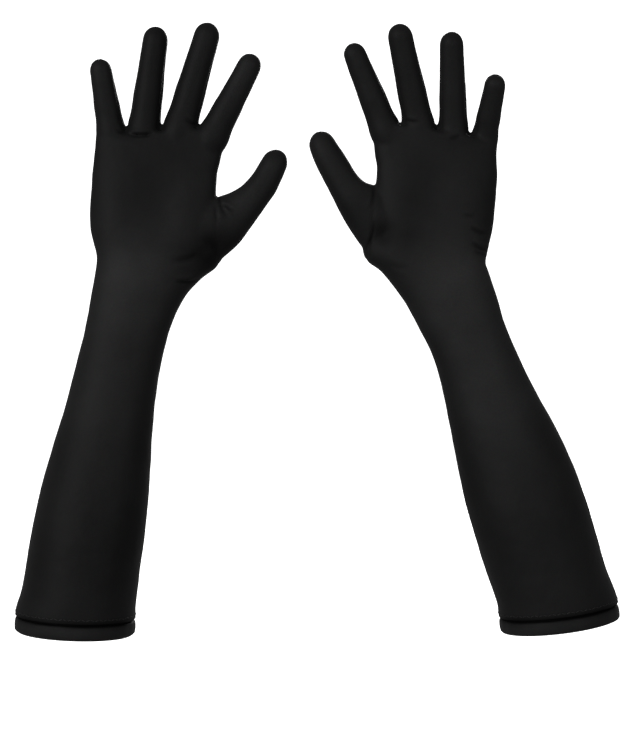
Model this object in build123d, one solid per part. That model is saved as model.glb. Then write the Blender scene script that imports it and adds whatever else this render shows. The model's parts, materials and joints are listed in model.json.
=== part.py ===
"""A pair of below-elbow opera gloves in stretch satin, standing in the shape they take when worn, palms forward.

Millimetres. +Z up along the raised arms, -Y the way the palms face, +X towards the left-hand glove.
The origin is the centre of the right-hand glove's mouth, where the arm goes in.
Every glove is built with its thumb towards +X; the left-hand one is then mirrored.
"""

import os
from collections import namedtuple
from math import cos, pi, radians, sin

from build123d import *

# Cloth and clearances
cloth = 0.8  # thickness of the stretch satin
gap = 0.3  # free space left in the cloth where one body turns on another
reach = 400  # half-size of the blocks that trim a shell
ring_points = 24  # points on one section of the sleeve and hand
overrun = 3  # how far a hollow runs past an open end

# Forearm, measured down the sleeve from the wrist crease
forearm_length = 260.5
Girth = namedtuple("Girth", "down width depth shift corner")  # shift is towards the thumb
wrist_girth = Girth(down=53, width=57, depth=41, shift=-3.5, corner=2.1)
sleeve_girths = [
    Girth(down=22, width=62.5, depth=39, shift=-1, corner=2.2),
    wrist_girth,
    Girth(down=96, width=61.5, depth=48, shift=-4, corner=2.0),
    Girth(down=142, width=74, depth=63, shift=-4, corner=2.0),
    Girth(down=195, width=80, depth=74, shift=-3.5, corner=2.0),
]

# Hem band: a folded strip tucked inside the sleeve's end, round an elastic
band_radius = 41.0  # inside of the sleeve's round end
band_clearance = 0.5  # between the sleeve and the strip inside it
band_height = 10  # what shows below the sleeve
band_tuck = 6  # what is hidden inside the sleeve
elastic_height = 6
elastic_thickness = 0.7
elastic_clearance = 0.1
stitch_radius = 0.35
hem_stitch_up = 3.5  # stitch line above the sleeve's edge

# Hand, measured up from the wrist crease
heel_width, heel_depth, heel_shift = 72, 38, 2
palm_girths = [
    Girth(down=-17, width=92, depth=37, shift=4.5, corner=2.4),
    Girth(down=-38, width=98, depth=33, shift=3.2, corner=2.6),
    Girth(down=-52, width=91, depth=30, shift=-0.5, corner=2.7),
    Girth(down=-61, width=85, depth=28.5, shift=-3.7, corner=2.8),
    Girth(down=-75, width=86, depth=26, shift=-5.5, corner=2.8),
    Girth(down=-96, width=90, depth=23, shift=-6.5, corner=3.0),
    Girth(down=-108, width=92, depth=22, shift=-6.8, corner=3.2),
]
hand_top = 105  # nothing of the hand stands above this
wrist_turn_radius = 25  # the sleeve and hand part on a cylinder round the wrist's axis
finger_slot = 13  # half-width of the cut that clears the hand's cloth above a finger

# Fingers: where each leaves the hand (across towards the thumb, and up), and its size
Finger = namedtuple("Finger", "across up length base_radius tip_radius forks")
fingers = {
    "index": Finger(27, 101, 64, 10.6, 7.6, forks=("inner",)),
    "middle": Finger(3.5, 100.5, 76, 10.4, 8.3, forks=("outer", "inner")),
    "ring": Finger(-20.8, 95.2, 71, 10.1, 7.9, forks=("outer", "inner")),
    "little": Finger(-42.4, 90.5, 50, 8.8, 7.0, forks=("outer",)),
}
fork_width = 9  # the fourchette strip at the finger's root; it tapers to a point near the tip

# Thumb: a separate piece set into the hand on a straight seam
seam_top = (38.0, 60.0)  # across and up, at the fork of thumb and hand
seam_foot = (48.0, 14.0)  # at the hand's edge above the wrist
thumb_depth = 28  # the deepest the thumb piece is, at its root
Bulge = namedtuple("Bulge", "across up lean half_width half_depth")
thumb_bulges = [
    Bulge(38, 30, 62, 18, thumb_depth / 2),
    Bulge(50, 38, 45, 15, 13),
    Bulge(58.5, 54, 30, 13.2, 11.8),
    Bulge(66.5, 70, 21, 11.3, 10.6),
    Bulge(72.7, 89.5, 18, 9.3, 9.3),
]
thumb_tip_radius = 10  # the ball that rounds the end, centred that far back from the last of them
thumb_tip_back = 1.5

# How each arm is held: the mouth's centre (across towards the thumb, and up), leans towards the thumb in
# degrees, and each finger's spread and forward curl
Pose = namedtuple("Pose", "mouth arm_lean hem_lean hand_lean spread curl")
poses = {
    "right": Pose(
        mouth=(0, 0), arm_lean=11.2, hem_lean=3, hand_lean=11,
        spread={"index": 14.5, "middle": 4.8, "ring": -4.0, "little": -20},
        curl={"index": 9, "middle": 3, "ring": 4, "little": 10},
    ),
    "left": Pose(
        mouth=(-339.4, 9.4), arm_lean=19.1, hem_lean=8, hand_lean=5,
        spread={"index": 16.2, "middle": 7.2, "ring": -2.8, "little": -14.5},
        curl={"index": 8, "middle": 14, "ring": 16, "little": 31},
    ),
}


def section_plane(x, z, lean):
    """A plane across a limb at (x, z): its normal leans from +Z towards +X by that many degrees."""
    a = radians(lean)
    return Plane(origin=(x, 0, z), x_dir=(cos(a), 0, -sin(a)), z_dir=(sin(a), 0, cos(a)))


def ring(plane, half_width, half_depth, corner=2.0):
    """One closed section: an ellipse for corner 2, squarer for more."""
    points = []
    for k in range(ring_points):
        a = 2 * pi * (k + 0.5) / ring_points
        x = abs(cos(a)) ** (2 / corner) * half_width * (1 if cos(a) >= 0 else -1)
        y = abs(sin(a)) ** (2 / corner) * half_depth * (1 if sin(a) >= 0 else -1)
        points.append(plane.from_local_coords((x, y, 0)))
    return Wire([Edge.make_spline(points, periodic=True)])


def block(plane, x, y, z):
    """A box between the (low, high) pairs given along a plane's own axes."""
    size = [high - low for low, high in (x, y, z)]
    middle = [(low + high) / 2 for low, high in (x, y, z)]
    return plane.location * Pos(*middle) * Box(*size)


def solid_of(shape):
    """The solids of a shape as one compound, or the single solid itself."""
    solids = shape.solids()
    return solids[0] if len(solids) == 1 else Compound(children=list(solids))


# ---- Sleeve and hand: one tapering shell, parted at the wrist ----


def arm_plane(pose, down, shift=0.0, lean=None):
    """Across the forearm, that far down it from the wrist crease."""
    a = radians(pose.arm_lean)
    up = forearm_length - down
    x = pose.mouth[0] + up * sin(a) + shift * cos(a)
    z = pose.mouth[1] + up * cos(a) - shift * sin(a)
    return section_plane(x, z, pose.arm_lean if lean is None else lean)


def hand_plane(pose, across=0.0, up=0.0):
    """Across the hand, with its own axes at the wrist crease."""
    a = radians(pose.hand_lean)
    wrist = arm_plane(pose, 0).origin
    x = wrist.X + across * cos(a) + up * sin(a)
    z = wrist.Z - across * sin(a) + up * cos(a)
    return section_plane(x, z, pose.hand_lean)


def hem_plane(pose, up=0.0):
    """The plane of the glove's open edge, or one that far up inside it."""
    return arm_plane(pose, forearm_length, lean=pose.hem_lean).offset(up)


def trunk(pose, wall):
    """The sleeve and hand without fingers, drawn in by wall."""
    end = hem_plane(pose, band_height - (overrun if wall else 0))
    sleeve_radius = band_radius + cloth - wall
    rings = [ring(end, sleeve_radius, sleeve_radius)]
    near = hem_plane(pose, band_height + band_tuck)
    rings.append(ring(near, sleeve_radius, sleeve_radius))
    for g in reversed(sleeve_girths):
        plane = arm_plane(pose, g.down, g.shift)
        rings.append(ring(plane, g.width / 2 - wall, g.depth / 2 - wall, g.corner))
    heel = hand_plane(pose, heel_shift).origin
    crease = section_plane(heel.X, heel.Z, (pose.arm_lean + pose.hand_lean) / 2)
    rings.append(ring(crease, heel_width / 2 - wall, heel_depth / 2 - wall, 2.3))
    for g in palm_girths:
        plane = hand_plane(pose, g.shift, -g.down)
        rings.append(ring(plane, g.width / 2 - wall, g.depth / 2 - wall, g.corner))
    return Solid.make_loft(rings)


def wrist_turn(pose, extra):
    """The round of cloth about the wrist's axis, and all above it; extra enlarges the round."""
    plane = arm_plane(pose, 0, lean=(pose.arm_lean + pose.hand_lean) / 2)
    barrel = plane.location * Rot(0, 90, 0) * Cylinder(wrist_turn_radius + extra, 2 * reach)
    above = block(plane, (-reach, reach), (-reach, reach), (0, 2 * reach))
    return barrel + above


def seam_plane(pose):
    """The thumb seam: a plane whose normal points from the hand out into the thumb."""
    foot = hand_plane(pose, *seam_foot).origin
    top = hand_plane(pose, *seam_top).origin
    up = (top - foot).normalized()
    return Plane(origin=foot, x_dir=up, z_dir=Vector(0, 1, 0).cross(up))


def finger_plane(pose, name):
    """Where a finger leaves the hand: z along the finger, -y to the palm, x towards the thumb."""
    f = fingers[name]
    root = hand_plane(pose, f.across, f.up).origin
    plane = section_plane(root.X, root.Z, pose.hand_lean + pose.spread[name])
    return plane.rotated((pose.curl[name], 0, 0))


def sleeve_and_hand(pose):
    shell = trunk(pose, 0) - trunk(pose, cloth)
    sleeve = shell - wrist_turn(pose, gap)
    hand = shell & wrist_turn(pose, 0)
    hand -= block(hand_plane(pose, 0, hand_top), (-reach, reach), (-reach, reach), (0, reach))
    for name in fingers:
        inner = -reach if name == "little" else -finger_slot
        outer = reach if name == "index" else finger_slot
        hand -= block(finger_plane(pose, name), (inner, outer), (-reach, reach), (-gap, 2 * reach))
    seam = seam_plane(pose)
    seam_length = (Vector(*seam_top) - Vector(*seam_foot)).length
    hand -= block(seam, (-reach / 4, seam_length), (-reach, reach), (-gap, reach))
    front = block(Plane.XY, (-reach, reach), (-reach, 0), (-reach, 2 * reach))
    return {
        "sleeve_front": solid_of(sleeve & front),
        "sleeve_back": solid_of(sleeve - front),
        "palm": solid_of(hand & front),
        "hand_back": solid_of(hand - front),
    }


# ---- Hem ----


def turned(plane, *profile):
    """A solid of revolution about a plane's normal, from (radius, height) corners."""
    outline = Polyline(*[(r, 0, h) for r, h in profile], close=True)
    return plane.location * revolve(Face(Wire(outline.edges())), Axis.Z, 360)


def hem(pose):
    plane = hem_plane(pose)
    top = band_height + band_tuck
    pocket = elastic_thickness + 2 * elastic_clearance
    outer = band_radius - band_clearance
    inner = outer - 2 * cloth - pocket
    band = turned(
        plane,
        (inner, 0), (outer, 0), (outer, top), (outer - cloth, top),
        (outer - cloth, cloth), (inner + cloth, cloth), (inner + cloth, top), (inner, top),
    )
    elastic_outer = outer - cloth - elastic_clearance
    low = cloth + elastic_clearance
    elastic = turned(
        plane,
        (elastic_outer - elastic_thickness, low), (elastic_outer, low),
        (elastic_outer, low + elastic_height), (elastic_outer - elastic_thickness, low + elastic_height),
    )
    stitch_plane = hem_plane(pose, band_height + hem_stitch_up)
    stitch = stitch_plane.location * Torus(band_radius + cloth + stitch_radius + gap, stitch_radius)
    return {"hem_band": band, "hem_elastic": elastic, "hem_stitching": stitch}


# ---- Fingers ----


def finger_half(f, side):
    """Half of a hollow tapering stall along +Z: side 1 is the palm's half, -1 the back's."""
    top = f.length - f.tip_radius

    def curve(radius, end):
        bend = (end * cos(pi / 4), 0, top + end * sin(pi / 4))
        return Line((radius, 0, 0), (end, 0, top)), ThreePointArc((end, 0, top), bend, (0, 0, top + end))

    outside = curve(f.base_radius, f.tip_radius)
    inside = curve(f.base_radius - cloth, f.tip_radius - cloth)
    root = Line((f.base_radius - cloth, 0, 0), (f.base_radius, 0, 0))
    tip = Line((0, 0, top + f.tip_radius - cloth), (0, 0, top + f.tip_radius))
    outline = [edge for line in (*outside, *inside, root, tip) for edge in line.edges()]
    return revolve(Face(Wire(outline)), Axis.Z, -180 * side)


def fork_wedge(f, side):
    """The long triangle of space that a fourchette fills: wide at the root, a point near the tip."""
    point = f.length - f.tip_radius
    triangle = Polyline((0, -fork_width / 2, 0), (0, fork_width / 2, 0), (0, 0, point), close=True)
    wedge = extrude(Face(Wire(triangle.edges())), amount=2 * f.base_radius, dir=(side, 0, 0))
    return wedge


def finger(pose, name):
    """One finger's cloth: front and back strips, with a fourchette on each side that faces a neighbour."""
    f = fingers[name]
    front, back = finger_half(f, 1), finger_half(f, -1)
    parts = {}
    for side in f.forks:
        wedge = fork_wedge(f, {"outer": 1, "inner": -1}[side])  # outer faces the thumb
        parts[f"{name}_{side}_fourchette"] = (front & wedge) + (back & wedge)
        front -= wedge
        back -= wedge
    parts[f"{name}_front"], parts[f"{name}_back"] = front, back
    place = finger_plane(pose, name).location
    return {key: solid_of(place * part) for key, part in parts.items()}


# ---- Thumb ----


def thumb_plane(pose, bulge):
    centre = hand_plane(pose, bulge.across, bulge.up).origin
    return section_plane(centre.X, centre.Z, pose.hand_lean + bulge.lean)


def thumb_solid(pose, wall):
    """The thumb from inside the hand to its round end, drawn in by wall."""
    rings = []
    for b in thumb_bulges:
        rings.append(ring(thumb_plane(pose, b), b.half_width - wall, b.half_depth - wall))
    end = thumb_plane(pose, thumb_bulges[-1]).offset(-thumb_tip_back)
    return Solid.make_loft(rings) + end.location * Sphere(thumb_tip_radius - wall)


def thumb(pose):
    beyond = block(seam_plane(pose), (-reach, reach), (-reach, reach), (0, reach))
    return {"thumb": solid_of((thumb_solid(pose, 0) - thumb_solid(pose, cloth)) & beyond)}


def glove(pose):
    return {
        **sleeve_and_hand(pose),
        **hem(pose),
        **thumb(pose),
        **{key: part for name in fingers for key, part in finger(pose, name).items()},
    }


os.makedirs("parts", exist_ok=True)
for hand, pose in poses.items():
    for name, part in glove(pose).items():
        placed = part if hand == "right" else part.mirror(Plane.YZ)
        export_step(placed, f"parts/{hand}_{name}.step")
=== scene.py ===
import json
from collections import namedtuple
from math import atan2, cos, pi, radians, sin

import bmesh
import bpy
import numpy as np
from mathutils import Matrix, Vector, noise
from mathutils.kdtree import KDTree


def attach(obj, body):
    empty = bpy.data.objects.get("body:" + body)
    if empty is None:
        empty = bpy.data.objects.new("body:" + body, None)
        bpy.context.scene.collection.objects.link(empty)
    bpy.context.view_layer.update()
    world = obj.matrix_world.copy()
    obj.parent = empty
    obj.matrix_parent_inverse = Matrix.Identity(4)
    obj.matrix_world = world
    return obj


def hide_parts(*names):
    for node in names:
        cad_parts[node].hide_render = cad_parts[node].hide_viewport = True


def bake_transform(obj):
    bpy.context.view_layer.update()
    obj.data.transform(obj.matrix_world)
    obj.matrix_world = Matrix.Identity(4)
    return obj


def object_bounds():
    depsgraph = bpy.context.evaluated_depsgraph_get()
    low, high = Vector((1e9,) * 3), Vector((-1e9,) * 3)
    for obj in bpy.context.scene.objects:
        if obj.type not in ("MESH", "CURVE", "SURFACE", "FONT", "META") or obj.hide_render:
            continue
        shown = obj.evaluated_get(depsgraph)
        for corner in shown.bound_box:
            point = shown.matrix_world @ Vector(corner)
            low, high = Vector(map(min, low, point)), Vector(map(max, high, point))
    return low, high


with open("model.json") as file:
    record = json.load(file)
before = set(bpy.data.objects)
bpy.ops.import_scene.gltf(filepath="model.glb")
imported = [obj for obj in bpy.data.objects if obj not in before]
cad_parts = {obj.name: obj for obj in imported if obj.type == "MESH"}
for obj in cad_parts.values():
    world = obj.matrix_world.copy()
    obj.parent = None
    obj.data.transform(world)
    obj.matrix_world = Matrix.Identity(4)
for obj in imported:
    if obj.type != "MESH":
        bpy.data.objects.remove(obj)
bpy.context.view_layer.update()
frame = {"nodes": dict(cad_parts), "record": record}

# ---- The arm and hand inside each glove ----
# The stretch satin takes the shape of the arm and hand that wear it. So a smooth arm and hand are modelled
# first, in lengths from the wrist crease, and every piece of cloth is cut from them.

MM = 0.001
joints = {joint["name"]: joint for joint in frame["record"]["behaviour"]["joints"]}
mounts = {mount["name"]: mount for mount in frame["record"]["mounts"]}

# How far down each section lies, and how far it reaches to the little-finger side and to the thumb side
Girth = namedtuple("Girth", "down little thumb depth corner")
arm_girths = {
    "right": [
        Girth(258, 42.3, 40.4, 83, 2.0),
        Girth(235, 41.7, 37.8, 82, 2.0),
        Girth(210, 42.5, 35.8, 78, 2.0),
        Girth(185, 43.0, 34.4, 73, 2.0),
        Girth(160, 42.2, 32.2, 67, 2.0),
        Girth(135, 40.0, 28.8, 60, 2.0),
        Girth(110, 37.4, 25.4, 53, 2.0),
        Girth(90, 36.0, 23.4, 47, 2.0),
        Girth(70, 34.9, 22.4, 43, 2.1),
        Girth(53, 34.1, 22.6, 41, 2.1),
        Girth(38, 34.0, 23.8, 39, 2.2),
        Girth(25, 34.4, 26.2, 38, 2.2),
        Girth(12, 34.4, 30.6, 37.5, 2.3),
    ],
    "left": [
        Girth(258, 42.0, 40.4, 83, 2.0),
        Girth(235, 42.0, 37.1, 82, 2.0),
        Girth(210, 43.4, 37.1, 79, 2.0),
        Girth(185, 44.5, 36.5, 75, 2.0),
        Girth(160, 43.9, 35.1, 69, 2.0),
        Girth(135, 41.5, 31.9, 61, 2.0),
        Girth(110, 37.3, 28.3, 54, 2.0),
        Girth(90, 34.3, 25.7, 47, 2.0),
        Girth(70, 32.3, 23.5, 43, 2.1),
        Girth(53, 31.2, 23.5, 41, 2.1),
        Girth(38, 31.9, 25.6, 39, 2.2),
        Girth(25, 32.4, 27.6, 38, 2.2),
        Girth(12, 32.6, 30.0, 37.5, 2.3),
    ],
}
hand_girths = {
    "right": [
        Girth(-1, 35.6, 38.8, 37, 2.3),
        Girth(-10, 39.6, 47.0, 36, 2.4),
        Girth(-20, 43.8, 49.8, 34.5, 2.5),
        Girth(-32, 46.6, 45.0, 32.5, 2.6),
        Girth(-45, 48.2, 41.5, 30.5, 2.7),
        Girth(-60, 50.0, 37.2, 28, 2.8),
        Girth(-75, 51.3, 35.4, 25.5, 2.9),
        Girth(-84, 52.4, 35.6, 23.5, 3.0),
    ],
    "left": [
        Girth(-1, 33.2, 39.2, 37, 2.3),
        Girth(-10, 35.8, 48.8, 36, 2.4),
        Girth(-20, 39.0, 50.6, 34.5, 2.5),
        Girth(-32, 42.0, 45.0, 32.5, 2.6),
        Girth(-45, 44.2, 42.5, 30.5, 2.7),
        Girth(-60, 46.6, 38.4, 28, 2.8),
        Girth(-75, 47.4, 36.2, 25.5, 2.9),
        Girth(-84, 48.6, 36.8, 23.5, 3.0),
    ],
}
# Where each finger leaves the hand, its length and radii, and its spread towards the thumb and forward curl
Finger = namedtuple("Finger", "across up length root tip spread curl")
fingers = {
    "right": {
        "index": Finger(27.9, 101, 61.6, 10.5, 8.1, 17.6, 9),
        "middle": Finger(3.9, 100.5, 75.7, 11.1, 8.9, 5.5, 3),
        "ring": Finger(-20.8, 95.6, 70.6, 10.7, 8.6, -3.2, 4),
        "little": Finger(-43.4, 90.8, 48.6, 9.5, 7.5, -19.8, 10),
    },
    "left": {
        "index": Finger(28.6, 101, 62.6, 10.2, 7.8, 17.6, 8),
        "middle": Finger(4.6, 100.5, 71.5, 10.5, 8.5, 8.0, 14),
        "ring": Finger(-19.3, 95.0, 67.9, 9.8, 8.1, -2.4, 16),
        "little": Finger(-40.8, 89.5, 45.2, 8.7, 7.2, -14.0, 31),
    },
}
Bulge = namedtuple("Bulge", "across up lean half_width half_depth")
thumb_bulges = {
    "right": [
        Bulge(26, 24, 66, 17, 13),
        Bulge(38, 33.5, 62, 20.6, 13.5),
        Bulge(49.4, 43.4, 60, 18.0, 12.8),
        Bulge(56.2, 51.8, 54, 14.4, 12),
        Bulge(63.2, 62.4, 43, 11.2, 11),
        Bulge(68.6, 73, 31, 10.0, 10.4),
        Bulge(71.6, 82.2, 24, 9.4, 9.9),
        Bulge(73.4, 88.8, 19, 8.9, 9.5),
    ],
    "left": [
        Bulge(26, 24, 66, 17, 13),
        Bulge(38, 34, 62, 20.6, 13.5),
        Bulge(47.8, 45, 60, 18.4, 12.8),
        Bulge(54.6, 54.2, 44, 13.6, 11.8),
        Bulge(60.2, 64, 31, 11.2, 11),
        Bulge(65.0, 74.5, 27, 10.6, 10.6),
        Bulge(69.8, 85, 22, 10.0, 10),
        Bulge(72.9, 92.2, 18, 9.2, 9.4),
    ],
}
hem_drop = {"right": -1.5, "left": 3.1}  # how far the cloth is drawn down past the mouth's true place
seam_top = (38.0, 60.0)  # the fork of hand and thumb
seam_foot = (48.0, 14.0)
knuckle_line = (91, 94.5)  # the top of the hand, slanting up to the index finger
knuckle_slant = -14
knuckle_across = -8
knuckle_reach = {"right": (44.0, 44.6), "left": (39.6, 45.6)}
knuckle_depth = 21.5
knuckle_corner = 3.0
mouth_radius = 41.4
mouth_heights = (-6, 14)
sections_between = 6
section_points = 72
# How a finger swells at its root and joints: millimetres below the root, then shares of its length
finger_swell = [
    (-20, 0.7), (-9, 1.0), (-2, 1.09),
    (0.07, 1.05), (0.2, 0.99), (0.4, 1.01), (0.6, 0.985), (0.8, 1), (1, 1),
]
tip_turns = (15, 30, 45, 60, 72, 82)  # degrees round a fingertip
finger_tip_reach = 1.06
thumb_tip_reach = 1.15
thumb_tip_depth = 0.98
thumb_corner = 2.1
knit_grain = 0.0012  # mesh spacing, metres
fullness = 0.4 * MM  # what smoothing takes off, put back


class Held:
    """Where one glove is: its own axes, taken from the model's joints and mounts."""

    def __init__(self, side):
        self.side = side
        self.turn = 1 if side == "right" else -1
        self.mouth = Vector(mounts[f"{side}_arm_opening"]["pos_m"])
        self.wrist = Vector(joints[f"{side}_wrist_bend"]["pos_m"])
        arm = self.wrist - self.mouth
        self.arm_lean = atan2(self.turn * arm.x, arm.z)
        axis = joints[f"{side}_wrist_bend"]["axis"]
        self.hand_lean = 2 * atan2(-self.turn * axis[2], axis[0]) - self.arm_lean

    def axes_at(self, centre, lean, curl=0.0):
        """A point and its three axes: across towards the thumb, back through the hand, and up."""
        a, c = lean, curl
        x = Vector((self.turn * cos(a), 0, -sin(a)))
        up = Vector((self.turn * sin(a), 0, cos(a)))
        z = up * cos(c) + Vector((0, -sin(c), 0))
        y = Vector((0, cos(c), 0)) + up * sin(c)
        return centre, x, y, z

    def hand(self, across=0.0, up=0.0, lean=0.0, curl=0.0):
        _, x, _, z = self.axes_at(self.wrist, self.hand_lean)
        centre = self.wrist + (x * across + z * up) * MM
        return self.axes_at(centre, self.hand_lean + radians(lean), radians(curl))

    def arm(self, down, across=0.0):
        _, x, _, z = self.axes_at(self.wrist, self.arm_lean)
        return self.axes_at(self.wrist + (x * across - z * down) * MM, self.arm_lean)

    def hem(self, up=0.0):
        """Across the mouth, that far above the edge of the hem band."""
        out = mounts[f"{self.side}_arm_opening"]["axis"]
        centre, x, y, z = self.axes_at(self.mouth, atan2(-self.turn * out[0], -out[2]))
        return centre + z * (up - hem_drop[self.side]) * MM, x, y, z

    def finger(self, name):
        f = fingers[self.side][name]
        return self.hand(f.across, f.up, f.spread, f.curl)

    def seam(self):
        """The thumb seam's foot, its direction up, and the way out into the thumb."""
        foot, top = self.hand(*seam_foot)[0], self.hand(*seam_top)[0]
        up = (top - foot).normalized()
        out = Vector((up.z, 0, -up.x)) * self.turn
        return foot, up, out


def local(points, place):
    """Points in a place's own axes, in millimetres."""
    centre, x, y, z = place
    return (np.asarray(points) - np.array(centre)) @ np.array([x, y, z]).T / MM


def section(place, left, right, depth, corner):
    """Points round one section, reaching that far to each side, in metres."""
    centre, x, y, _ = place
    points = []
    for k in range(section_points):
        a = 2 * pi * k / section_points
        u = abs(cos(a)) ** (2 / corner) * (1 if cos(a) > 0 else -1) * (left + right) / 2 + (right - left) / 2
        v = abs(sin(a)) ** (2 / corner) * (1 if sin(a) > 0 else -1) * depth / 2
        points.append(centre + (x * u + y * v) * MM)
    return np.array(points)


def smooth_run(rings):
    """More rings between the given ones, on a smooth curve through them all."""
    rings = np.array(rings)
    padded = np.concatenate([2 * rings[:1] - rings[1:2], rings, 2 * rings[-1:] - rings[-2:-1]])
    run = []
    for a, b, c, d in zip(padded, padded[1:], padded[2:], padded[3:]):
        for t in np.arange(sections_between) / sections_between:
            run.append(b + (c - a) / 2 * t + (a - 2.5 * b + 2 * c - d / 2) * t**2
                       + (1.5 * b - a / 2 + d / 2 - 1.5 * c) * t**3)
    return run + [rings[-1]]


def closed_tube(bm, rings):
    """Skins the rings into a closed tube."""
    rows = [[bm.verts.new(p) for p in ring] for ring in rings]
    for lower, upper in zip(rows, rows[1:]):
        for k in range(section_points):
            j = (k + 1) % section_points
            bm.faces.new((lower[k], lower[j], upper[j], upper[k]))
    bm.faces.new(rows[0][::-1])
    bm.faces.new(rows[-1])


def trunk_rings(held):
    rings = []
    for up in mouth_heights:
        rings.append(section(held.hem(up), mouth_radius, mouth_radius, 2 * mouth_radius, 2))
    for g in arm_girths[held.side][1:]:
        rings.append(section(held.arm(g.down), g.little, g.thumb, g.depth, g.corner))
    for g in hand_girths[held.side]:
        rings.append(section(held.hand(0, -g.down), g.little, g.thumb, g.depth, g.corner))
    for up in knuckle_line:
        place = held.hand(knuckle_across, up, knuckle_slant)
        rings.append(section(place, *knuckle_reach[held.side], knuckle_depth, knuckle_corner))
    return smooth_run(rings)


def finger_rings(held, name):
    f = fingers[held.side][name]
    centre, x, y, z = held.finger(name)
    straight = f.length - f.tip
    down_hand = held.hand(0, 0, f.spread)[3]  # below its root the finger runs on inside the hand, not curled
    rings = []
    for step, swell in finger_swell:
        along = step if step <= 0 else step * straight
        taper = min(max(along / straight, 0), 1)
        radius = (f.root + (f.tip - f.root) * taper) * swell
        way = z if along > 0 else down_hand
        rings.append(section((centre + way * along * MM, x, y, z), radius, radius, 2 * radius, 2))
    rings = smooth_run(rings)
    for turn in tip_turns:
        radius = f.tip * cos(radians(turn))
        along = straight + f.tip * sin(radians(turn)) * finger_tip_reach
        rings.append(section((centre + z * along * MM, x, y, z), radius, radius, 2 * radius, 2))
    return rings


def thumb_rings(held):
    rings = []
    for b in thumb_bulges[held.side]:
        place = held.hand(b.across, b.up, b.lean)
        rings.append(section(place, b.half_width, b.half_width, 2 * b.half_depth, thumb_corner))
    rings = smooth_run(rings)
    last = thumb_bulges[held.side][-1]
    centre, x, y, z = held.hand(last.across, last.up, last.lean)
    for turn in tip_turns:
        radius = last.half_width * cos(radians(turn))
        place = (centre + z * thumb_tip_reach * last.half_width * sin(radians(turn)) * MM, x, y, z)
        rings.append(section(place, radius, radius, 2 * radius * thumb_tip_depth, 2))
    return rings


def add_mesh(name, build):
    bm = bmesh.new()
    build(bm)
    bmesh.ops.recalc_face_normals(bm, faces=bm.faces)
    mesh = bpy.data.meshes.new(name)
    bm.to_mesh(mesh)
    bm.free()
    thing = bpy.data.objects.new(name, mesh)
    bpy.context.collection.objects.link(thing)
    return thing


def apply_modifier(thing, kind, **settings):
    bpy.ops.object.select_all(action="DESELECT")
    bpy.context.view_layer.objects.active = thing
    thing.select_set(True)
    modifier = thing.modifiers.new(kind.title(), kind)
    for key, value in settings.items():
        setattr(modifier, key, value)
    bpy.ops.object.modifier_apply(modifier=modifier.name)


def arm_and_hand(held):
    """The whole arm and hand as one smooth closed form."""

    def build(bm):
        closed_tube(bm, trunk_rings(held))
        for name in fingers[held.side]:
            closed_tube(bm, finger_rings(held, name))
        closed_tube(bm, thumb_rings(held))

    form = add_mesh(f"{held.side}_form", build)
    apply_modifier(form, "REMESH", mode="VOXEL", voxel_size=knit_grain, adaptivity=0)
    apply_modifier(form, "SMOOTH", factor=0.5, iterations=14)
    return form


# ---- The cut pieces of satin ----
# Each glove is cut from black nylon and elastane satin, about 0.7 mm thick, as fronts, backs, a set-in thumb
# and narrow fourchettes between the fingers. They are sewn inside out, so a seam shows as a groove.

cloth = 0.7 * MM
fork_half = 6.0  # the fourchette's half-width at the finger's root; it runs to a point near the tip
fork_sides = {"index": (-1,), "middle": (1, -1), "ring": (1, -1), "little": (1,)}
fork_names = {1: "outer", -1: "inner"}
seam_groove = 0.35 * MM
seam_reach = 1.3 * MM
hem_edge = 11.2  # the satin ends that far above the mouth, millimetres
finger_reach = 17  # a finger's pieces lie that near its middle line
thumb_foot = -14  # the thumb's piece lies between these heights on the hand
thumb_top = 108
fork_slope = 0.47  # the lean of the line that parts the thumb from the index finger's side of the hand
fork_cut_depth = 9
side_seam_top = 112
fold_bow = 0.07  # how far a fold's line bows, as a share of its length
fold_overrun = 0.12  # a fold fades out that far past its ends, over fold_fade of its length
fold_fade = 0.35
ridge_aside = 2.3  # the ridge beside a fold: how far away and how wide, in fold widths
ridge_width = 1.5
hem_lies_even = 16  # up to this height the sewn hem lies even, and over the next stretch it eases off
hem_eases_over = 12
# The darkest and lightest the painted light and shade may make the satin
darkest_tone = 0.08
lightest_tone = 1.8

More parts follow.
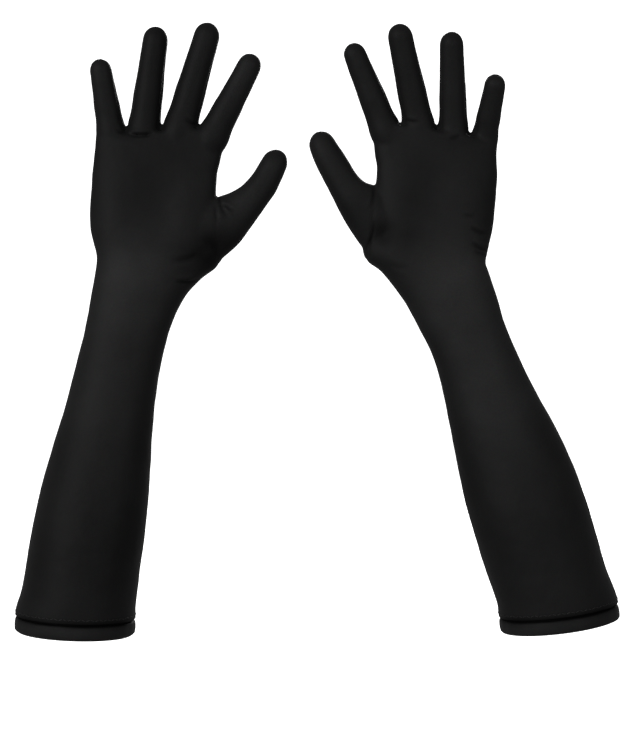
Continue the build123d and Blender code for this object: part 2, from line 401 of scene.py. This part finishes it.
# The soft shapes of the palm, and the folds where the cloth is loose: millimetres from the wrist crease
Mound = namedtuple("Mound", "across up wide tall height")
mounds = {
    "right": [Mound(24, 38, 13, 20, 2.2), Mound(-28, 36, 12, 24, 1.6), Mound(2, 52, 15, 20, -1.8),
              Mound(34, 21, 8, 11, -1.8), Mound(-2, 8, 9, 9, -0.8)],
    "left": [Mound(24, 42, 13, 18, 1.8), Mound(-25, 40, 12, 24, 1.2), Mound(2, 54, 15, 20, -1.2),
             Mound(35, 27, 9, 9, -1.6), Mound(-2, 8, 9, 9, -0.6)],
}
# A fold's shade is painted shade: how much darker its line is drawn on the satin's colour
Fold = namedtuple("Fold", "start end width depth ridge shade")
folds = {
    "right": [
        Fold((-28.5, 88.8), (-13.5, 91.8), 1.1, 1.7, 0.6, 0.75),
        Fold((-38, 90), (-30, 88.4), 1.2, 0.6, 0.3, 0.3),
        Fold((7.5, 106.6), (15, 104.8), 1.1, 0.7, 0.3, 0.5),
        Fold((39.6, 58.5), (49.5, 45.5), 1.0, 1.0, 0.6, 0.6),
        Fold((44.5, 53.5), (53, 50.5), 0.9, 0.6, 0.4, 0.45),
        Fold((43.0, 52.5), (50.5, 53.8), 0.8, 0.4, 0.3, 0.3),
        Fold((40, 51), (43.5, 41), 1.1, 0.5, 0.3, 0.3),
        Fold((24.5, -5.6), (37, -1.0), 1.2, 1.0, 0.5, 0.65),
        Fold((19, 7.5), (34, 15), 1.8, 0.6, 0.4, 0.3),
    ],
    "left": [
        Fold((-27, 33), (-20, 34.4), 0.9, 0.6, 0.3, 0.4),
        Fold((-34, 20.3), (-24.5, 25), 1.2, 1.0, 0.5, 0.5),
        Fold((-36.5, 8.4), (-25, 13.8), 1.2, 1.2, 0.6, 0.6),
        Fold((-35, 4.4), (-26, 8.6), 1.2, 0.7, 0.4, 0.4),
        Fold((-22.5, 89.9), (-15.5, 89), 1.0, 0.7, 0.4, 0.6),
        Fold((5.5, 101.8), (13.3, 104), 1.0, 0.7, 0.3, 0.55),
        Fold((40.5, 58.5), (43.5, 46), 1.0, 0.6, 0.4, 0.35),
        Fold((42.2, 34.5), (49.4, 17.5), 0.9, 0.6, 0.3, 0.8),
        Fold((24, 1), (34, 5), 1.5, 0.3, 0.2, 0.1),
    ],
}


def fold_line(fold, flat):
    """How strong a fold is at each point, and how far to the side of its line the point is, millimetres."""
    a, b = np.array(fold.start), np.array(fold.end)
    run = b - a
    length = np.hypot(*run)
    t = (flat - a) @ run / length**2
    bow = fold_bow * length * np.sin(np.clip(t, 0, 1) * pi)
    aside = (flat - a) @ np.array([-run[1], run[0]]) / length + bow
    fade = np.clip(np.minimum(t + fold_overrun, 1 + fold_overrun - t) / fold_fade, 0, 1) ** 0.7
    return fade, aside


unevenness = 0.22  # how far the cloth wanders from the arm's smooth shape
# Painted light and shade: patches where the satin's colour is drawn lighter, as painted sheen
# where light falls, or darker, as painted shade in hollows and away from the light
painted_light_and_shade = {
    "right": [Mound(-16, -12, 30, 30, 0.62), Mound(-8, -66, 34, 46, 0.38), Mound(0, -205, 60, 55, -0.26),
              Mound(26, -110, 12, 60, -0.12), Mound(40, 20, 8, 12, -0.8), Mound(29, 14, 13, 8, -0.45),
              Mound(50, 30, 12, 9, -0.4), Mound(58, 62, 9, 13, 0.25), Mound(74, 84, 10, 12, 0.12),
              Mound(47, 138, 12, 24, 0.2), Mound(-10, 62, 26, 22, -0.06), Mound(-14, 135, 30, 42, -0.34),
              Mound(-6, 50, 34, 34, -0.12)],
    "left": [Mound(-27, -9, 10, 12, 0.9), Mound(-8, -18, 30, 32, 0.75), Mound(-12, -78, 26, 50, 0.72),
             Mound(0, -212, 60, 56, -0.16), Mound(28, -95, 13, 60, -0.3), Mound(37, 27, 9, 9, -0.55),
             Mound(24, 24, 14, 9, -0.35), Mound(56, 44, 9, 9, -0.25), Mound(52, 66, 9, 12, 0.3),
             Mound(74, 92, 9, 12, 0.12), Mound(-38, 48, 8, 18, -0.15), Mound(0, 135, 45, 40, -0.14)],
}
# The plain level of the painted light and shade, then the painted shadow on the satin just above its edge
# and how far it reaches
plain_tone = 0.9
hem_shadow = 0.85
hem_shadow_reach = 2.2


def painted_shading_of(held, points):
    """How much lighter or darker each point's colour is painted, as light and shade on the satin: 1 is
    plain.
    """
    arm, hand = local(points, held.arm(0)), local(points, held.hand())
    on_hand = np.clip(hand[:, 2] / 20 + 0.5, 0, 1)[:, None]
    q = arm * (1 - on_hand) + hand * on_hand
    tone = np.full(len(points), plain_tone)
    for m in painted_light_and_shade[held.side]:
        tone += m.height * np.exp(-(((q[:, 0] - m.across) / m.wide) ** 2 + ((q[:, 2] - m.up) / m.tall) ** 2))
    # Painted shade: each fold on the palm side is drawn as a darker line on the satin, over its real crease
    palm = points[:, 1] < held.wrist.y
    for fold in folds[held.side]:
        fade, aside = fold_line(fold, q[:, [0, 2]])
        tone *= 1 - palm * fold.shade * fade * np.exp(-((aside / (0.9 * fold.width)) ** 2))
    # Painted shadow: the satin is drawn darker just above its edge, where the sleeve overhangs the hem band
    height = local(points, held.hem())[:, 2]
    tone *= 1 - hem_shadow * np.exp(-(((height - hem_edge) / hem_shadow_reach) ** 2))
    return np.clip(tone, darkest_tone, lightest_tone)


def relief(held, points, normals):
    """How far each point of the palm's side moves out or in, metres."""
    q = local(points, held.hand())
    palm = np.clip(-q[:, 1] / 6, 0, 1) * np.clip(-(normals @ np.array([0, 1, 0])) * 1.6, 0, 1)
    rise = np.zeros(len(points))
    for m in mounds[held.side]:
        rise += m.height * np.exp(-(((q[:, 0] - m.across) / m.wide) ** 2 + ((q[:, 2] - m.up) / m.tall) ** 2))
    flat = q[:, [0, 2]]
    for fold in folds[held.side]:
        fade, aside = fold_line(fold, flat)
        rise -= fade * fold.depth * np.exp(-((aside / fold.width) ** 2))
        beside = (aside - ridge_aside * fold.width) / (ridge_width * fold.width)
        rise += fade * fold.ridge * np.exp(-(beside**2))
    drape = np.array([noise.noise(Vector(p) * 70) + 0.5 * noise.noise(Vector(p) * 160) for p in points])
    above_hem = np.clip((local(points, held.hem())[:, 2] - hem_lies_even) / hem_eases_over, 0, 1)
    return (rise * palm + drape * above_hem * unevenness) * MM


def cut(bm, place_point, normal, keep):
    """Cuts new edges along a plane through the faces that keep() picks by their centre."""
    faces = [f for f in bm.faces if keep(f.calc_center_median())]
    edges = {e for f in faces for e in f.edges}
    verts = {v for f in faces for v in f.verts}
    picked = [*faces, *edges, *verts]
    bmesh.ops.bisect_plane(bm, geom=picked, plane_co=place_point, plane_no=normal, dist=1e-6)


def near(place, low, high):
    """Picks what lies within a box in a place's own axes, millimetres."""
    centre, x, y, z = place

    def picks(p):
        d = (p - centre) / MM
        return all(a <= d.dot(axis) <= b for a, b, axis in zip(low, high, (x, y, z)))

    return picks


def piece_of(held, points):
    """Which cut piece each point belongs to."""
    side = held.side
    names = np.where(points[:, 1] < held.wrist.y, f"{side}_front", f"{side}_back").astype("U40")
    best = np.full(len(points), np.inf)
    for name, f in fingers[side].items():
        q = local(points, held.finger(name))
        off = np.abs(q[:, 0])
        on = (q[:, 2] > 0) & (off < finger_reach) & (off < best)
        best[on] = off[on]
        names[on & (q[:, 1] < 0)] = f"{side}_{name}_front"
        names[on & (q[:, 1] >= 0)] = f"{side}_{name}_back"
        half = fork_half * (1 - q[:, 2] / (f.length - f.tip))
        for way in fork_sides[name]:
            fork = on & (np.abs(q[:, 1]) < half) & (q[:, 0] * way > 0)
            names[fork] = f"{side}_{name}_{fork_names[way]}_fourchette"
    foot, _, out = held.seam()
    q = local(points, held.hand())
    across, height = q[:, 0] - seam_top[0], q[:, 2] - seam_top[1]
    below_fork = q[:, 2] < seam_top[1]
    beyond = (points - np.array(foot)) @ np.array(out) > 0
    lower = beyond & below_fork & (q[:, 2] > thumb_foot) & np.isinf(best)
    upper = ~below_fork & (q[:, 0] > seam_top[0]) & (across > fork_slope * height)
    names[lower | upper & (q[:, 2] < thumb_top)] = f"{side}_thumb"
    return names


def cut_pieces(held, form):
    """Cuts the form's skin along every seam and joint, and returns its points, faces and piece names."""
    bm = bmesh.new()
    bm.from_mesh(form.data)
    edge, _, _, up = held.hem(hem_edge)
    everything = [*bm.verts, *bm.edges, *bm.faces]
    bmesh.ops.bisect_plane(bm, geom=everything, plane_co=edge, plane_no=up, dist=1e-6, clear_inner=True)
    cut(bm, held.wrist, Vector((0, 1, 0)), near(held.hand(), (-400, -8, -400), (400, 8, side_seam_top)))
    for name, f in fingers[held.side].items():
        place = held.finger(name)
        centre, _, y, z = place
        cut(bm, centre, z, near(place, (-finger_reach, -25, -3), (finger_reach, 25, 3)))
        cut(bm, centre, y, near(place, (-finger_reach, -4, 0), (finger_reach, 4, 90)))
        point = centre + z * (f.length - f.tip) * MM
        for way in (1, -1):
            slope = (y * way * (f.length - f.tip) + z * fork_half).normalized()
            low = (-finger_reach, -fork_cut_depth, 0)
            cut(bm, point, slope, near(place, low, (finger_reach, fork_cut_depth, f.length)))
    foot, _, out = held.seam()
    cut(bm, foot, out, near(held.hand(), (30, -40, thumb_foot), (60, 40, seam_top[1])))
    bmesh.ops.remove_doubles(bm, verts=bm.verts, dist=2e-5)
    bmesh.ops.triangulate(bm, faces=[f for f in bm.faces if len(f.verts) > 4])
    bm.normal_update()
    points = np.array([v.co for v in bm.verts])
    normals = np.array([v.normal for v in bm.verts])
    bm.verts.index_update()
    faces = [[v.index for v in f.verts] for f in bm.faces]
    names = piece_of(held, np.array([f.calc_center_median() for f in bm.faces]))
    bm.free()
    return points, normals, faces, names


def sink_seams(points, normals, faces, names):
    """Draws the skin in along the lines where two pieces are sewn together."""
    touching = [set() for _ in points]
    for face, name in zip(faces, names):
        for v in face:
            touching[v].add(name)
    sewn = np.array([len(t) > 1 and not only_cut_across(t) for t in touching])
    if not sewn.any():
        return points
    tree = KDTree(int(sewn.sum()))
    for i in np.flatnonzero(sewn):
        tree.insert(points[i], int(i))
    tree.balance()
    depth = np.zeros(len(points))
    for i, p in enumerate(points):
        _, _, away = tree.find(p)
        if away < 3 * seam_reach:
            depth[i] = seam_groove * np.exp(-((away / seam_reach) ** 2))
    return points - normals * depth[:, None]


def point_normals(points, faces):
    """The smooth normal at each point of the whole skin."""
    mesh = bpy.data.meshes.new("skin")
    mesh.from_pydata(points.tolist(), [], faces)
    normals = np.zeros(len(points) * 3)
    mesh.vertex_normals.foreach_get("vector", normals)
    bpy.data.meshes.remove(mesh)
    return normals.reshape(-1, 3)


def only_cut_across(names):
    """True where one piece of satin runs on: the front into a finger's front, or the back into its back."""
    kinds = {("front" if n.endswith("front") else "back" if n.endswith("back") else n) for n in names}
    return len(kinds) == 1


def satin_piece(name, points, normals, faces, painted_shading_at):
    """One cut piece as a mesh with the cloth's thickness inwards, shaded as part of the whole glove."""
    used = sorted({v for face in faces for v in face})
    index = {v: k for k, v in enumerate(used)}
    count = len(used)
    outer, n = points[used], normals[used]
    skin = [[index[v] for v in face] for face in faces]
    lining = [[k + count for k in reversed(face)] for face in skin]
    walk = {}
    for face in skin:
        for a, b in zip(face, face[1:] + face[:1]):
            walk[a, b] = True
    rim = [[b, a, a + count, b + count] for a, b in walk if (b, a) not in walk]
    mesh = bpy.data.meshes.new(name)
    mesh.from_pydata(np.concatenate([outer, outer - n * cloth]).tolist(), [], skin + lining + rim)
    mesh.polygons.foreach_set("use_smooth", [True] * len(mesh.polygons))
    mesh.normals_split_custom_set_from_vertices(np.concatenate([n, -n]).tolist())
    # The painted light and shade of each point, kept for the material
    painted_shading = mesh.attributes.new("painted_shading", "FLOAT", "POINT")
    painted_shading.data.foreach_set("value", np.tile(painted_shading_at[used], 2).astype(np.float32))
    thing = bpy.data.objects.new(name, mesh)
    bpy.context.collection.objects.link(thing)
    return thing, len(skin)


def satin():
    """Black stretch satin: a close knit with a soft sheen and faint random unevenness, its colour multiplied
    by the painted light and shade at each point.
    """
    made = bpy.data.materials.new("black_satin")
    made.use_nodes = True
    nodes, links = made.node_tree.nodes, made.node_tree.links
    shader = nodes["Principled BSDF"]
    shader.inputs["Roughness"].default_value = 0.56
    shader.inputs["Specular IOR Level"].default_value = 0.05
    place = nodes.new("ShaderNodeTexCoord")
    cloud = nodes.new("ShaderNodeTexNoise")
    cloud.inputs["Scale"].default_value = 22
    cloud.inputs["Detail"].default_value = 4
    fleck = nodes.new("ShaderNodeTexNoise")
    fleck.inputs["Scale"].default_value = 900
    fleck.inputs["Detail"].default_value = 2
    tone = nodes.new("ShaderNodeValToRGB")
    tone.color_ramp.elements[0].position = 0.3
    tone.color_ramp.elements[1].position = 0.7
    tone.color_ramp.elements[0].color = (0.0058, 0.0058, 0.0058, 1)
    tone.color_ramp.elements[1].color = (0.0086, 0.0086, 0.0086, 1)
    speck = nodes.new("ShaderNodeMixRGB")
    speck.blend_type = "OVERLAY"
    speck.inputs["Fac"].default_value = 0.35
    wale = nodes.new("ShaderNodeTexWave")
    wale.bands_direction = "X"
    wale.inputs["Scale"].default_value = 700
    wale.inputs["Distortion"].default_value = 1.5
    wale.inputs["Detail"].default_value = 1
    bump = nodes.new("ShaderNodeBump")
    bump.inputs["Strength"].default_value = 0.35
    bump.inputs["Distance"].default_value = 0.00006
    pile = nodes.new("ShaderNodeMath")
    pile.operation = "ADD"
    links.new(place.outputs["Object"], cloud.inputs["Vector"])
    links.new(place.outputs["Object"], fleck.inputs["Vector"])
    links.new(place.outputs["Object"], wale.inputs["Vector"])
    links.new(cloud.outputs["Fac"], tone.inputs["Fac"])
    links.new(tone.outputs["Color"], speck.inputs["Color1"])
    links.new(fleck.outputs["Color"], speck.inputs["Color2"])
    # The painted light and shade of each point multiplies the base colour
    painted_shading = nodes.new("ShaderNodeAttribute")
    painted_shading.attribute_name = "painted_shading"
    with_painted_shading = nodes.new("ShaderNodeMixRGB")
    with_painted_shading.blend_type = "MULTIPLY"
    with_painted_shading.inputs["Fac"].default_value = 1
    links.new(speck.outputs["Color"], with_painted_shading.inputs["Color1"])
    links.new(painted_shading.outputs["Fac"], with_painted_shading.inputs["Color2"])
    links.new(with_painted_shading.outputs["Color"], shader.inputs["Base Color"])
    links.new(wale.outputs["Fac"], pile.inputs[0])
    links.new(fleck.outputs["Fac"], pile.inputs[1])
    links.new(pile.outputs["Value"], bump.inputs["Height"])
    links.new(bump.outputs["Normal"], shader.inputs["Normal"])
    return made


black_satin = satin()


def declare(thing, node_names):
    """Gives the piece the black satin and hides the CAD solids it stands for."""
    thing.data.materials.append(black_satin)
    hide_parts(*node_names)


def sew_glove(side):
    held = Held(side)
    form = arm_and_hand(held)
    points, normals, faces, names = cut_pieces(held, form)
    bpy.data.objects.remove(form)
    points = points + normals * (fullness + relief(held, points, normals))[:, None]
    normals = point_normals(points, faces)
    points = sink_seams(points, normals, faces, names)
    normals = point_normals(points, faces)
    painted_shading_at = painted_shading_of(held, points)
    for name in sorted(set(names)):
        mine = [face for face, other in zip(faces, names) if other == name]
        thing, count = satin_piece(f"{name}_satin", points, normals, mine, painted_shading_at)
        part = name[len(side) + 1:]
        if part in ("front", "back"):
            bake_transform(thing)
            hand_node = "palm" if part == "front" else "hand_back"
            declare(thing, [f"{side}_sleeve_{part}", f"{side}_{hand_node}"])
        elif part == "thumb":
            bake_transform(thing)
            declare(thing, [f"{side}_thumb"])
        else:
            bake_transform(thing)
            declare(thing, [name])


# ---- Hem bands ----
# The open end of each sleeve is finished with a folded strip of the same satin round a narrow elastic. Its
# lower fold is soft and round. A small step and a painted shadow line mark where it meets the sleeve, and
# the band below is painted a little lighter.

band_outer = 41.7
band_inner = 38.2
band_steps = 180
ripple_beyond = 41  # only the band's outer face ripples
# Painted shadow under the sleeve's edge, painted shade near the band's top, and painted light on the rest of
# the band, as shares of the plain colour
shade_under_sleeve = 0.15
shade_at_fold = 0.8
shade_on_band = 1.15


def hem_band(side):
    held = Held(side)
    hem = held.hem()
    outline = [
        (39.6, 14.0), (39.6, 10.2), (40.2, 9.8), (40.9, 9.6), (band_outer - 0.3, 9.0), (band_outer, 8.0),
        (band_outer + 0.25, 5.5), (band_outer + 0.15, 3), (band_outer - 0.1, 1.2), (band_outer - 0.8, 0.3),
        (band_outer - 1.8, 0.0), (band_inner + 0.8, 0.1), (band_inner + 0.1, 0.9), (band_inner, 3),
        (band_inner, 14.0),
    ]

    def build(bm):
        rows = []
        for k in range(band_steps):
            a = 2 * pi * k / band_steps
            ripple = 0.12 * sin(9 * a + 1) + 0.08 * sin(23 * a)
            row = []
            for radius, height in outline:
                r = radius + (ripple if radius > ripple_beyond else 0)
                point = hem[0] + (hem[1] * r * cos(a) + hem[2] * r * sin(a) + hem[3] * height) * MM
                row.append(bm.verts.new(point))
            rows.append(row)
        for k in range(band_steps):
            one, two = rows[k], rows[(k + 1) % band_steps]
            for i in range(len(outline)):
                j = (i + 1) % len(outline)
                bm.faces.new((one[i], one[j], two[j], two[i]))

    band = add_mesh(f"{side}_hem_fold", build)
    band.data.polygons.foreach_set("use_smooth", [True] * len(band.data.polygons))
    band.data.materials.append(black_satin)
    # Painted light and shade on the band: darker towards its top, darkest under the sleeve's edge as a
    # painted shadow, and a little lighter below
    painted_shading = band.data.attributes.new("painted_shading", "FLOAT", "POINT")
    heights = local([v.co for v in band.data.vertices], hem)[:, 2]
    shade = np.where(heights > 7, shade_at_fold, shade_on_band)
    shade = np.where(heights > 8.9, shade_under_sleeve, shade)
    painted_shading.data.foreach_set("value", shade.astype(np.float32))
    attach(band, f"{side}_sleeve")
    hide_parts(f"{side}_hem_band")
    return band


hem_bands = {side: hem_band(side) for side in ("right", "left")}

# ---- Hem stitching ----
# A row of black cover stitches holds the band to the sleeve. Each stitch is a short slanting loop of thread
# that lies on the satin just above the sleeve's edge.


def thread_material():
    made = bpy.data.materials.new("black_thread")
    made.use_nodes = True
    nodes, links = made.node_tree.nodes, made.node_tree.links
    shader = nodes["Principled BSDF"]
    shader.inputs["Roughness"].default_value = 0.4
    shader.inputs["Specular IOR Level"].default_value = 0.15
    place = nodes.new("ShaderNodeTexCoord")
    twist = nodes.new("ShaderNodeTexNoise")
    twist.inputs["Scale"].default_value = 1500
    tone = nodes.new("ShaderNodeValToRGB")
    tone.color_ramp.elements[0].color = (0.009, 0.009, 0.009, 1)
    tone.color_ramp.elements[1].color = (0.02, 0.02, 0.02, 1)
    links.new(place.outputs["Object"], twist.inputs["Vector"])
    links.new(twist.outputs["Fac"], tone.inputs["Fac"])
    links.new(tone.outputs["Color"], shader.inputs["Base Color"])
    return made


black_thread = thread_material()
stitch_count = 84
stitch_up = 13.8
stitch_round = 41.85
stitch_slant = 0.45
thread_radius = 0.16
thread_sides = 6
thread_swell = ((0, 0.25), (0.12, 0.9), (0.5, 1.15), (0.88, 0.9), (1, 0.25))  # along one stitch
stitch_start = 0.12
stitch_end = 0.88


def hem_stitches(side):
    held = Held(side)
    hem = held.hem()

    def build(bm):
        for k in range(stitch_count):
            ends = []
            for step, rise in ((stitch_start, -stitch_slant), (stitch_end, stitch_slant)):
                a = 2 * pi * (k + step) / stitch_count
                height = stitch_up + (rise if k % 2 else -rise)
                r = stitch_round
                ends.append(hem[0] + (hem[1] * r * cos(a) + hem[2] * r * sin(a) + hem[3] * height) * MM)
            along = (ends[1] - ends[0]).normalized()
            out = (ends[0] - hem[0]).cross(along).normalized()
            rows = []
            side_way = along.cross(out)
            for t, fat in thread_swell:
                centre = ends[0].lerp(ends[1], t)
                rows.append([
                    bm.verts.new(centre + (out * cos(b) + side_way * sin(b)) * thread_radius * fat * MM)
                    for b in (2 * pi * j / thread_sides for j in range(thread_sides))
                ])
            for low, high in zip(rows, rows[1:]):
                for j in range(thread_sides):
                    i = (j + 1) % thread_sides
                    bm.faces.new((low[j], low[i], high[i], high[j]))
            bm.faces.new(rows[0])
            bm.faces.new(rows[-1])

    row = add_mesh(f"{side}_hem_stitch_row", build)
    row.data.polygons.foreach_set("use_smooth", [True] * len(row.data.polygons))
    row.data.materials.append(black_thread)
    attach(row, f"{side}_sleeve")
    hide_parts(f"{side}_hem_stitching")
    return row


stitch_rows = {side: hem_stitches(side) for side in ("right", "left")}

# ---- Sewing each glove ----
# The right and left gloves are sewn the same way, from 17 cut pieces of satin each. The hem band and its
# stitching were attached to the sleeve's body above.

for side in ("right", "left"):
    sew_glove(side)

# ---- Elastic inside the hem ----
# A flat woven elastic ring, hidden in the fold of each hem band. It is black too.

for side in ("right", "left"):
    elastic = frame["nodes"][f"{side}_hem_elastic"]
    elastic.data.materials.clear()
    elastic.data.materials.append(black_thread)

# ---- Studio ----
# A white paper floor that turns up into a round wall on all sides, with large soft lights. The camera stands
# square on to the palms.


def white(name, strength):
    made = bpy.data.materials.new(name)
    made.use_nodes = True
    shader = made.node_tree.nodes["Principled BSDF"]
    shader.inputs["Base Color"].default_value = (0.9, 0.9, 0.9, 1)
    shader.inputs["Roughness"].default_value = 0.9
    shader.inputs["Emission Color"].default_value = (1, 1, 1, 1)
    shader.inputs["Emission Strength"].default_value = strength
    return made


low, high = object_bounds()
middle = (low + high) / 2
floor_drop = 0.075
room_radius = 3.4
room_height = 6.0
floor_turn_up = 0.6  # radius of the curve from the floor up into the wall

bpy.ops.object.select_all(action="DESELECT")
room_centre = (middle.x, middle.y, low.z - floor_drop + room_height / 2)
bpy.ops.mesh.primitive_cylinder_add(vertices=96, radius=room_radius, depth=room_height, location=room_centre)
floor = bpy.context.object
floor.name = "floor"
bevel = floor.modifiers.new("turn_up", "BEVEL")
bevel.width = floor_turn_up
bevel.segments = 10
bpy.ops.object.modifier_apply(modifier=bevel.name)
floor.data.polygons.foreach_set("use_smooth", [True] * len(floor.data.polygons))
floor.data.materials.append(white("white_paper", 1.0))
floor.visible_diffuse = False
floor.visible_glossy = False
floor.visible_shadow = False

world = bpy.data.worlds.new("studio")
world.use_nodes = True
world.node_tree.nodes["Background"].inputs["Color"].default_value = (1, 1, 1, 1)
world.node_tree.nodes["Background"].inputs["Strength"].default_value = 0.36
bpy.context.scene.world = world


def soft_light(name, place, size, power):
    data = bpy.data.lights.new(name, "AREA")
    data.shape = "RECTANGLE"
    data.size, data.size_y = size
    data.energy = power
    lamp = bpy.data.objects.new(name, data)
    bpy.context.collection.objects.link(lamp)
    lamp.location = middle + Vector(place)
    lamp.rotation_euler = (-Vector(place)).to_track_quat("-Z", "Y").to_euler()


soft_light("key_light", (-1.9, -2.2, 0.8), (1.3, 1.6), 74)
soft_light("back_light", (0.4, 2.4, 0.9), (1.4, 1.4), 30)
soft_light("fill_light", (0.9, -1.8, 0.3), (1.2, 1.2), 13)

camera_away = 1.2
camera_across = 0.17165
camera_up = 0.18654
view_width = 0.448  # across the plane of the gloves, metres
view_shape = 734 / 640  # height over width
camera = bpy.data.objects.new("camera", bpy.data.cameras.new("camera"))
bpy.context.collection.objects.link(camera)
camera.data.sensor_fit = "AUTO"
camera.data.lens = camera.data.sensor_width * camera_away / (view_width * view_shape)
camera.location = (camera_across, -camera_away, camera_up)
camera.rotation_euler = (pi / 2, 0, 0)
bpy.context.scene.camera = camera
bpy.context.scene.view_settings.view_transform = "Standard"
bpy.context.scene.view_settings.look = "None"
